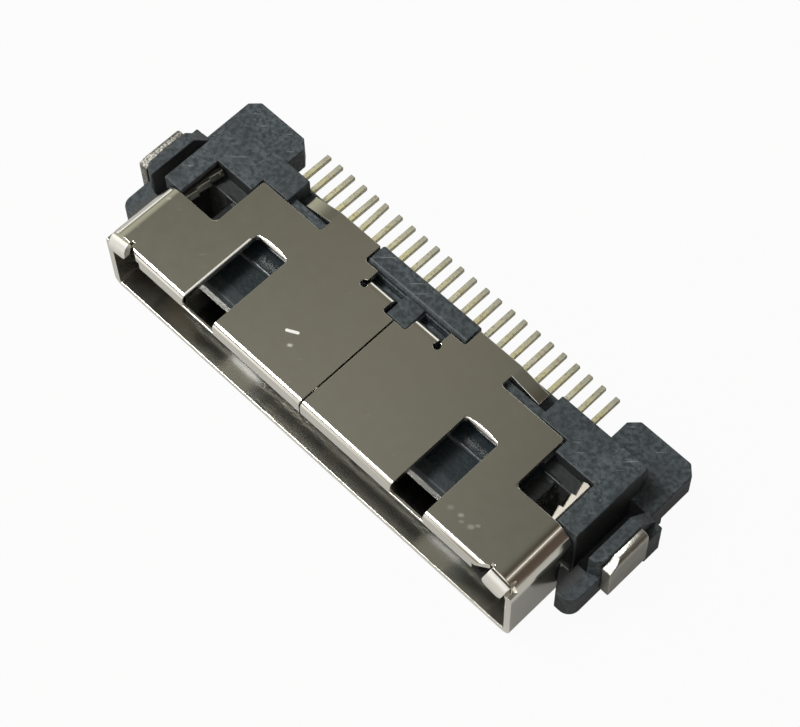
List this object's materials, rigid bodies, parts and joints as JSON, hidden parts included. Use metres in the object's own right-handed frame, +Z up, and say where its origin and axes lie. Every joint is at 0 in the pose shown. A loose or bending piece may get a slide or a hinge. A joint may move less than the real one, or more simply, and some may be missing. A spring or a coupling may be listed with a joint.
{
  "type": "charging port connector",
  "caption": "Flat board-edge charging port: a folded plated shell with a wide mouth round a moulded insulator with tongue, board ears, clips and a row of solder tails.",
  "frame": {"origin": "middle of the footprint, on the underside of the shell", "axes": "+X along the mouth, +Y back from the mouth to the solder tails, +Z up towards the board's side"},
  "size_m": [0.0186, 0.0068, 0.0029],
  "materials": {
    "shell": "polished nickel plating",
    "insulator": "moulded black plastic, slightly mottled",
    "contact": "thin gold plating",
    "clip": "tinned"
  },
  "bodies": {
    "root": {"shell": "shell", "housing": "insulator", "left_board_clip": "clip", "right_board_clip": "clip", "contact_01": "contact", "contact_02": "contact", "contact_03": "contact", "contact_04": "contact", "contact_05": "contact", "contact_06": "contact", "contact_07": "contact", "contact_08": "contact", "contact_09": "contact", "contact_10": "contact", "contact_11": "contact", "contact_12": "contact", "contact_13": "contact", "contact_14": "contact", "contact_15": "contact", "contact_16": "contact", "contact_17": "contact", "contact_18": "contact", "contact_19": "contact", "contact_20": "contact", "contact_21": "contact", "contact_22": "contact", "contact_23": "contact", "contact_24": "contact"}
  },
  "joints": []
}
